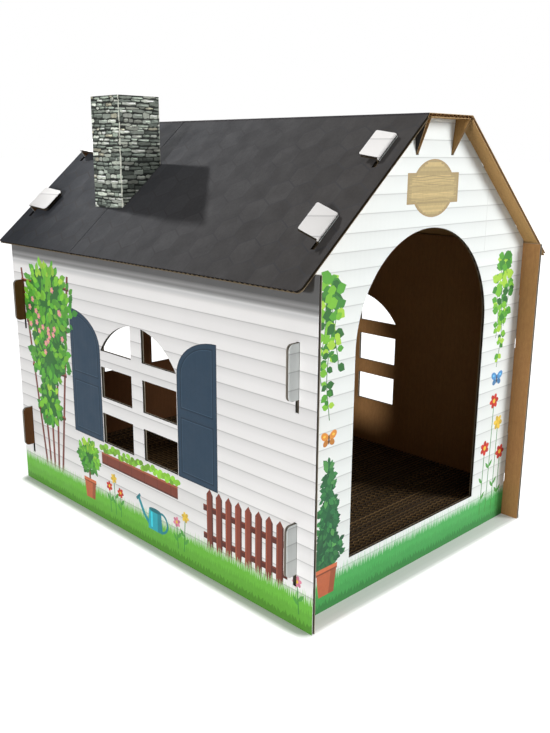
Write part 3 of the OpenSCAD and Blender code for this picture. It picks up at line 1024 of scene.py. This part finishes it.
# Painted shade: the roof tabs' under face, cut edges and flutes are dark kraft, for the shade under and
# beside each tab.
tab_under_shaded = kraft("tab_under_shaded", (66, 50, 34), ACROSS)
tab_rim_shaded = kraft("tab_rim_shaded", (62, 52, 40), ACROSS)
tab_flute_shaded = kraft("tab_flute_shaded", (38, 29, 20), ACROSS)

# Materials of each board: its print, bare face, rim and flutes
SIDE_SLOTS = (side_print, wall_kraft, side_rim, side_flute_shaded)
GABLE_SLOTS = (gable_print, wall_kraft, gable_rim, gable_flute_shaded)
REAR_SLOTS = (gable_print, rear_kraft_shaded, gable_rim, gable_flute_shaded)
ROOF_SLOTS = (roof_print, roof_kraft, roof_rim, roof_flute_shaded)
PALE_ROOF_SLOTS = (roof_print, roof_kraft, rim_kraft, wall_kraft)
CHIMNEY_SLOTS = (stone_print, wall_kraft, rim_kraft, flute_kraft_shaded)
TAB_SLOTS = (tab_print, tab_under_shaded, tab_rim_shaded, tab_flute_shaded)

# Walls
Z_AXIS = (0, 0, 1)
side_holes = panes(SIDE_SILL, 2)
for y in (-GABLE_MID, GABLE_MID):
    for v in SIDE_TABS:
        side_holes.append(rect(y - SLIT_HALF, v - SLIT_EXTRA, y + SLIT_HALF, v + SIDE_TAB_H + SLOT_GAP))
LEFT_FLOWERS = ((-60, 46, RED), (-50, 58, YELLOW), (-40, 44, RED), (66, 44, PINK), (76, 54, YELLOW),
                (244, 46, PINK))
RIGHT_FLOWERS = ((52, 46, RED), (62, 58, PINK), (72, 44, YELLOW), (-66, 44, RED), (-246, 48, YELLOW))
# Each side wall: its side and its print
SIDE_WALLS = {
    "left_wall": (-1, side_art(11, -186, -104, 26, (112, 226), LEFT_FLOWERS)),
    "right_wall": (1, side_art(29, 188, 104, -24, (-226, -112), RIGHT_FLOWERS)),
}
for name, (side, regions) in SIDE_WALLS.items():
    build = Build()
    place = flat_place((side * HALF_W, 0, 0), (0, side, 0), Z_AXIS)
    add_board(build, place, [rect(-HALF_L, 0, HALF_L, WALL_H)], side_holes, regions)
    build.finish(f"{name}_board", SIDE_SLOTS, "house", name, "siding_board")


def flange_section(gap):
    """A leaning flange of the ridge channel in section, grown by a gap."""
    outer = HALF_RIDGE + gap
    inner = HALF_RIDGE - BOARD / cos(FLANGE_LEAN) - gap
    low = RIDGE_H - FLANGE_H - gap
    lean = (FLANGE_H + gap) * tan(FLANGE_LEAN)
    return [(outer, RIDGE_H), (inner, RIDGE_H), (inner - lean, low), (outer - lean, low)]


def gable_sheet(neck_rise):
    """Outlines that make up a gable wall."""
    top, top_half = RIDGE_H - BOARD, HALF_RIDGE + (BOARD - BOARD / COS) / TAN
    shoulder = roof_inner(GABLE_HALF_W)
    solids = [[(-GABLE_HALF_W, 0), (GABLE_HALF_W, 0), (GABLE_HALF_W, shoulder), (top_half, top),
               (-top_half, top), (-GABLE_HALF_W, shoulder)]]
    root = GABLE_HALF_W - TAB_OVERLAP
    outline = rounded_tab(HALF_W + SIDE_TAB_OUT - root, SIDE_TAB_H / 2, SIDE_TAB_R)
    for v in SIDE_TABS:
        tab = [(root + b, v + SIDE_TAB_H / 2 + a) for a, b in outline]
        solids += [tab, mirrored(tab)]
    for start in ROOF_TABS.values():
        neck = rect(start, -BOARD - TAB_OVERLAP, start + ROOF_TAB_W, neck_rise)
        neck = turned(neck, HALF_RIDGE, RIDGE_H, -PITCH)
        solids += [neck, mirrored(neck)]
    return solids


# Each gable wall: its end, openings, print, roof tabs and materials
GABLES = {
    "front_wall": (-1, [doorway()], front_art(), FRONT_TABS, GABLE_SLOTS),
    "rear_wall": (1, panes(REAR_SILL, 1), rear_art(), REAR_TABS, REAR_SLOTS),
}
flange_slot = flange_section(SLOT_GAP)
for name, (end, openings, regions, tabs, materials) in GABLES.items():
    build = Build()
    place = flat_place((0, end * GABLE_OUTER, 0), (-end, 0, 0), Z_AXIS)
    gable_holes = [flange_slot, mirrored(flange_slot)] + openings
    add_board(build, place, gable_sheet(tabs["neck"]), gable_holes, regions)
    build.finish(f"{name}_board", materials, "house", name, "siding_board")


# Roof
def roof_holes(side):
    """Slots for the gable walls' roof tabs, and on the left slope for the chimney's foot."""
    holes = []
    for y in (-GABLE_MID, GABLE_MID):
        for start in ROOF_TABS.values():
            low = -start - ROOF_TAB_W - SLOT_EXTRA
            holes.append(rect(y - SLIT_HALF, low, y + SLIT_HALF, -start + SLOT_GAP))
    if side < 0:
        reach = FOOT_TAB_HALF + SLOT_GAP
        near, far = ((CHIMNEY_X + way * reach - HALF_RIDGE) / COS for way in (-1, 1))
        for y in (CHIMNEY_Y - CHIMNEY_HALF + BOARD / 2, CHIMNEY_Y + CHIMNEY_HALF - BOARD / 2):
            holes.append(rect(-y - SLIT_HALF, -far, -y + SLIT_HALF, -near))
    return holes


def roof_outline(side):
    """The slope's sheet; the left one is worn round at its front eave corner."""
    corners = rect(-HALF_ROOF, -SLOPE_LENGTH, HALF_ROOF, 0)
    if side > 0:
        return corners
    r = WORN_CORNER_R
    return corners[:1] + arc(HALF_ROOF - r, r - SLOPE_LENGTH, r, r, -pi / 2, 0, 6) + corners[2:]


# Each slope: its side, the seed of its print, its crease, its materials and its printed liner's rim
SLOPES = {
    "left_roof": (-1, 3, -ROOF_CREASE_Y, ROOF_SLOTS, PRINT),
    "right_roof": (1, 5, None, PALE_ROOF_SLOTS, RIM),
}
for name, (side, seed, crease, materials, rim) in SLOPES.items():
    build = Build()
    creases = [] if crease is None else [crease - CREASE_HALF, crease, crease + CREASE_HALF]
    folds = [((u, -SLOPE_LENGTH), (u, 0)) for u in creases]
    add_board(build, slope_place(side, crease), [roof_outline(side)], roof_holes(side),
              shingles(seed, side), folds, rim)
    build.finish(f"{name}_board", materials, "house", name, "roof_board")

# Ridge channel, with its flat path measured downwards
flange_end = HALF_RIDGE - FLANGE_H * tan(FLANGE_LEAN)
flange_low = FLANGE_H - RIDGE_H
ridge_at, ridge_marks = folded([(-flange_end, flange_low), (-HALF_RIDGE, -RIDGE_H), (HALF_RIDGE, -RIDGE_H),
                                (flange_end, flange_low)])


def ridge_place(u, v, n):
    x, down = ridge_at(u, n)
    return Vector((x, v, -down))


ridge_front = list(zip(ridge_marks, (-GABLE_OUTER, -HALF_ROOF, -HALF_ROOF, -GABLE_OUTER)))
ridge_sheet = ridge_front + [(u, -v) for u, v in ridge_front[::-1]]
ridge_folds = [((u, -HALF_ROOF), (u, HALF_ROOF)) for u in ridge_marks[1:3]]
build = Build()
add_board(build, ridge_place, [ridge_sheet], (), (), ridge_folds, RIM)
build.finish("ridge_channel_board", PALE_ROOF_SLOTS, "house", "ridge_channel", "roof_board")

# Chimney: a sleeve around its path, whose sides 0 and 4 run down the slope and stand on foot tabs
FOOT_SIDES, CORNER_SIDES, FOOT_STEPS = (0, 4), (1, 3, 5, 7), 12
WORN_FROM, WORN_INSET, FOLDS_FROM = 350.0, 0.5, 320.0
far_x, near_x = -CHIMNEY_X - CHIMNEY_HALF, -CHIMNEY_X + CHIMNEY_HALF
low_y, high_y = CHIMNEY_Y - CHIMNEY_HALF, CHIMNEY_Y + CHIMNEY_HALF
far_in, near_in = far_x + FOLD_CHAMFER, near_x - FOLD_CHAMFER
low_in, high_in = low_y + FOLD_CHAMFER, high_y - FOLD_CHAMFER
chimney_path = [(near_in, high_y), (far_in, high_y), (far_x, high_in), (far_x, low_in), (far_in, low_y),
                (near_in, low_y), (near_x, low_in), (near_x, high_in), (near_in, high_y)]
chimney_at, chimney_marks = folded(chimney_path, closed=True)
chimney_length = chimney_marks[-1]


def chimney_place(u, v, n):
    outer, point = chimney_at(u, 0.0), chimney_at(u, n)
    foot, own_foot = chimney_foot(-outer[0]), chimney_foot(-point[0])
    rise = (v - foot) / (CHIMNEY_TOP - foot)
    return Vector((point[0], point[1], own_foot + rise * (CHIMNEY_TOP - own_foot)))


foot_marks = []
for k, (start, end) in enumerate(zip(chimney_marks, chimney_marks[1:])):
    steps = FOOT_STEPS if k in FOOT_SIDES else 1
    foot_marks += [start + (end - start) * step / steps for step in range(steps)]
foot_marks.append(chimney_length)
foot_points = [(u, chimney_foot(-chimney_at(u, 0.0)[0])) for u in foot_marks]
chimney_solids = [[(0, CHIMNEY_TOP)] + foot_points + [(chimney_length, CHIMNEY_TOP)]]
for k in FOOT_SIDES:
    low, high = [], []
    for x in (-CHIMNEY_X - FOOT_TAB_HALF, -CHIMNEY_X + FOOT_TAB_HALF):
        u = chimney_marks[k] + abs(x - chimney_path[k][0])
        low.append((u, roof_outer(-x) - FOOT_TAB_H))
        high.append((u, chimney_foot(-x) + FOOT_OVERLAP))
    chimney_solids.append(low + high[::-1])

# Pale worn patches on the sleeve's corners, each as six ragged points around
stone_art = stones(chimney_length, chimney_marks[4], chimney_marks[5])
for k in CORNER_SIDES:
    edges = {1: chimney_marks[k] + WORN_INSET, -1: chimney_marks[k + 1] - WORN_INSET}
    v = WORN_FROM
    while v < CHIMNEY_TOP:
        tall = stone_art.spread(4, 15)
        patch = []
        for way, rise in ((1, 0.0), (-1, 0.0), (-1, 0.5), (-1, 1.0), (1, 1.0), (1, 0.5)):
            bite = stone_art.spread(-0.3, 0.7) if rise == 0.5 else stone_art.spread(0, 0.9)
            patch.append((edges[way] + way * bite, v + tall * rise))
        stone_art.add(patch, WORN_PAPER, strength=0.92)
        v += tall + stone_art.spread(0.2, 2.2)
chimney_folds = [((u, FOLDS_FROM), (u, CHIMNEY_TOP)) for u in chimney_marks[1:-1]]
build = Build()
add_board(build, chimney_place, chimney_solids, (), stone_art.regions, chimney_folds)
build.finish("chimney_sleeve", CHIMNEY_SLOTS, "chimney", "chimney", "stone_board")


# Roof tabs
def on_slope(side, along, y, out):
    x = HALF_RIDGE + along * COS + out * SIN
    return Vector((side * x, y, RIDGE_H - along * SIN + out * COS))


def add_crease(build, place, half):
    """The rounded foot of a folded tab, as a closed half-round bar."""
    radius = BOARD / 2
    profile = arc(-radius, 0, radius, radius, 0, -pi, 10)
    size = len(profile)
    points = [place(u, v, n) for u in (-half, half) for n, v in profile]
    faces = [(k + size, k, (k + 1) % size, (k + 1) % size + size) for k in range(size)]
    faces += [list(range(size)), list(range(2 * size - 1, size - 1, -1))]
    build.add(points, faces, PRINT)


for end_name, end, tabs in (("front", -1, FRONT_TABS), ("rear", 1, REAR_TABS)):
    for side_name, side in (("left", -1), ("right", 1)):
        for level, start in ROOF_TABS.items():
            fold = radians(tabs[level])
            crease = tabs["neck"] + FOLD_GAP + BOARD / 2 * tan(max(fold, pi / 2) / 2)
            zero = on_slope(side, 0, 0, 0)
            out = on_slope(side, 0, -end * sin(fold), cos(fold)) - zero
            normal = on_slope(side, 0, end * cos(fold), sin(fold)) - zero
            origin = on_slope(side, start + ROOF_TAB_W / 2, end * GABLE_MID, crease) + normal * (BOARD / 2)
            place = flat_place(origin, out.cross(normal), out)
            name = f"{end_name}_{side_name}_{level}_tab"
            build = Build()
            add_board(build, place, [rounded_tab(tabs["length"], ROOF_TAB_W / 2, tabs["corner"])])
            add_crease(build, place, ROOF_TAB_W / 2)
            build.finish(f"{name}_board", TAB_SLOTS, name, name, "siding_board")


# Scratch pad: strips of board on edge, glued side by side
def add_ribbon(build, line, low, high, thick, slot):
    """An upright closed ribbon along a line of (x, y) points."""
    outline = stroke(line, thick)
    points = [Vector((x, y, z)) for z in (high, low) for x, y in outline]
    count, faces = len(outline), []
    for k in range(len(line) - 1):
        a, b, c, d = k, k + 1, count - 2 - k, count - 1 - k
        faces.append((a, d, c, b))
        faces.append((b + count, c + count, d + count, a + count))
    for k in range(count):
        following = (k + 1) % count
        faces.append((k, following, following + count, k + count))
    build.add(points, faces, slot)


STRIP_PAPER, STRIP_LINER = 0, 1
BOX_FACES = [(3, 2, 1, 0), (4, 5, 6, 7), (0, 1, 5, 4), (1, 2, 6, 5), (2, 3, 7, 6), (3, 0, 4, 7)]
WAVE_SHEET, WAVE_RECESS = 0.4, 0.5
pad_half_x = INNER_HALF_W - PAD_GAP
pad_half_y = GABLE_OUTER - BOARD - PAD_GAP
pad_floor = PAD_H - PAD_DEPTH
strips = round(2 * pad_half_y / PAD_STRIP)
strip_step = (2 * pad_half_y - PAD_SHEET) / strips
half_waves = round(4 * pad_half_x / PAD_WAVE)
wave_from, wave_reach = WAVE_RECESS - pad_half_x, strip_step / 2 - PAD_SHEET
pad_rng = random.Random(17)
pad_outline = rect(-pad_half_x, -pad_half_y, pad_half_x, pad_half_y)
build = Build()
build.add([Vector((x, y, z)) for z in (0, pad_floor) for x, y in pad_outline], BOX_FACES, STRIP_PAPER)
for k in range(strips + 1):
    y = -pad_half_y + PAD_SHEET / 2 + k * strip_step
    liner_top = PAD_H - pad_rng.uniform(0, 0.5)
    add_ribbon(build, [(-pad_half_x, y), (pad_half_x, y)], pad_floor, liner_top, PAD_SHEET, STRIP_LINER)
    if k == strips:
        continue
    start = pad_rng.uniform(0, 1)
    line = []
    for step in range(half_waves + 1):
        x = wave_from - 2 * wave_from * step / half_waves
        phase = (step + start) % 2
        line.append((x, y + strip_step / 2 + wave_reach * (1 - 2 * abs(phase - 1))))
    add_ribbon(build, line, pad_floor, PAD_H - pad_rng.uniform(0.2, 0.9), WAVE_SHEET, STRIP_PAPER)
build.finish("scratch_pad_strips", (pad_kraft, pad_liner), "scratch_pad", "scratch_pad", "pad_board")

# Floor: its glow grows with the distance from the footprint; the dim glow beside the walls paints a narrow
# shade band there, and the real shadow shows within it
FLOOR_HALF, FLOOR_GREY = 40.0, (0.7, 0.7, 0.7, 1)
FOOTPRINT, GLOW_SPAN = (0.18, 0.25, 1.0), 0.1
GLOW_STOPS = ((0.0, 0.12), (0.07, 0.2), (0.1, 0.42), (0.15, 0.97))
ground = Graph(bpy.data.materials.new("pale_floor"))
past = ground.vector("SUBTRACT", ground.vector("ABSOLUTE", ground.where())[0], FOOTPRINT)[0]
away = ground.vector("LENGTH", ground.vector("MAXIMUM", past, (0, 0, 0))[0])["Value"]
glow = ground.ramp(ground.math("DIVIDE", away, GLOW_SPAN), GLOW_STOPS)
soft = ground.node("ShaderNodeBsdfDiffuse", {"Color": FLOOR_GREY})
light = ground.node("ShaderNodeEmission", {"Strength": ground.math("MULTIPLY", ground.seen(), glow)})
ground.show(ground.node("ShaderNodeAddShader", {0: soft.outputs[0], 1: light.outputs[0]}))
floor_mesh = bpy.data.meshes.new("floor")
floor_corners = rect(-FLOOR_HALF, -FLOOR_HALF, FLOOR_HALF, FLOOR_HALF)
floor_mesh.from_pydata([(x, y, 0) for x, y in floor_corners], [], [(0, 1, 2, 3)])
floor_mesh.materials.append(ground.owner)
floor = new_object("floor", floor_mesh)

# World: white where it is seen, and a weak light elsewhere
WORLD_LIGHT = 0.13
sky = Graph(bpy.data.worlds.new("studio"), "ShaderNodeOutputWorld")
strength = sky.node("ShaderNodeMapRange", {"Value": sky.seen(), "To Min": WORLD_LIGHT, "To Max": 1.0})
sky.show(sky.node("ShaderNodeBackground", {"Color": (1, 1, 1, 1), "Strength": strength.outputs[0]}))
bpy.context.scene.world = sky.owner


# Lamps and camera
def direction(azimuth, elevation):
    """The way from the house to a place around it; azimuth 0 is in front of the door."""
    flat = cos(elevation)
    return Vector((sin(azimuth) * flat, -cos(azimuth) * flat, sin(elevation)))


def add_lamp(name, kind, place, target, **settings):
    lamp = bpy.data.lights.new(name, kind)
    for key, value in settings.items():
        setattr(lamp, key, value)
    made = new_object(name, lamp)
    made.location = place
    made.rotation_euler = (target - place).to_track_quat("-Z", "Y").to_euler()


FRONT_PLACE, FRONT_TARGET = Vector((3.1, -4.6, 2.1)), Vector((0, -0.24, 0.2))
add_lamp("front_soft", "AREA", FRONT_PLACE, FRONT_TARGET, shape="DISK", size=2.8, energy=325)

# A low light from the left; it passes the door's opening, so the room behind it stays dark
SUN_FROM = direction(radians(-87), radians(4.5))
add_lamp("left_soft", "SUN", SUN_FROM, Vector((0, 0, 0)), energy=2.2, angle=radians(8))

# A narrow lamp behind the house; it lights the roof and lays the chimney's shadow on it
KEY_TARGET, KEY_DISTANCE = Vector((-0.12, -0.1, 0.39)), 2.5
KEY_PLACE = KEY_TARGET + direction(radians(178), radians(39)) * KEY_DISTANCE
add_lamp("rear_key", "SPOT", KEY_PLACE, KEY_TARGET, energy=280, spot_size=radians(12),
         spot_blend=0.35, shadow_soft_size=0.05)

IMAGE_H, FOCAL_PX, SENSOR = 733, 822.8, 36.0
AZIMUTH, ELEVATION, ROLL = radians(-44.34), radians(14.58), radians(0.42)
CAMERA_TARGET, CAMERA_DISTANCE = Vector((-158.66, -188.92, 233.46)), 748.02
eye = (CAMERA_TARGET + direction(AZIMUTH, ELEVATION) * CAMERA_DISTANCE) * MM
turn = Matrix.Rotation(AZIMUTH, 4, "Z") @ Matrix.Rotation(pi / 2 - ELEVATION, 4, "X")
lens = bpy.data.cameras.new("camera")
lens.sensor_width = SENSOR
lens.lens = FOCAL_PX / IMAGE_H * SENSOR
lens.clip_start, lens.clip_end = 0.01, 200
camera = new_object("camera", lens)
camera.matrix_world = Matrix.Translation(eye) @ turn @ Matrix.Rotation(ROLL, 4, "Z")
bpy.context.scene.camera = camera
bpy.context.scene.view_settings.view_transform = "Standard"
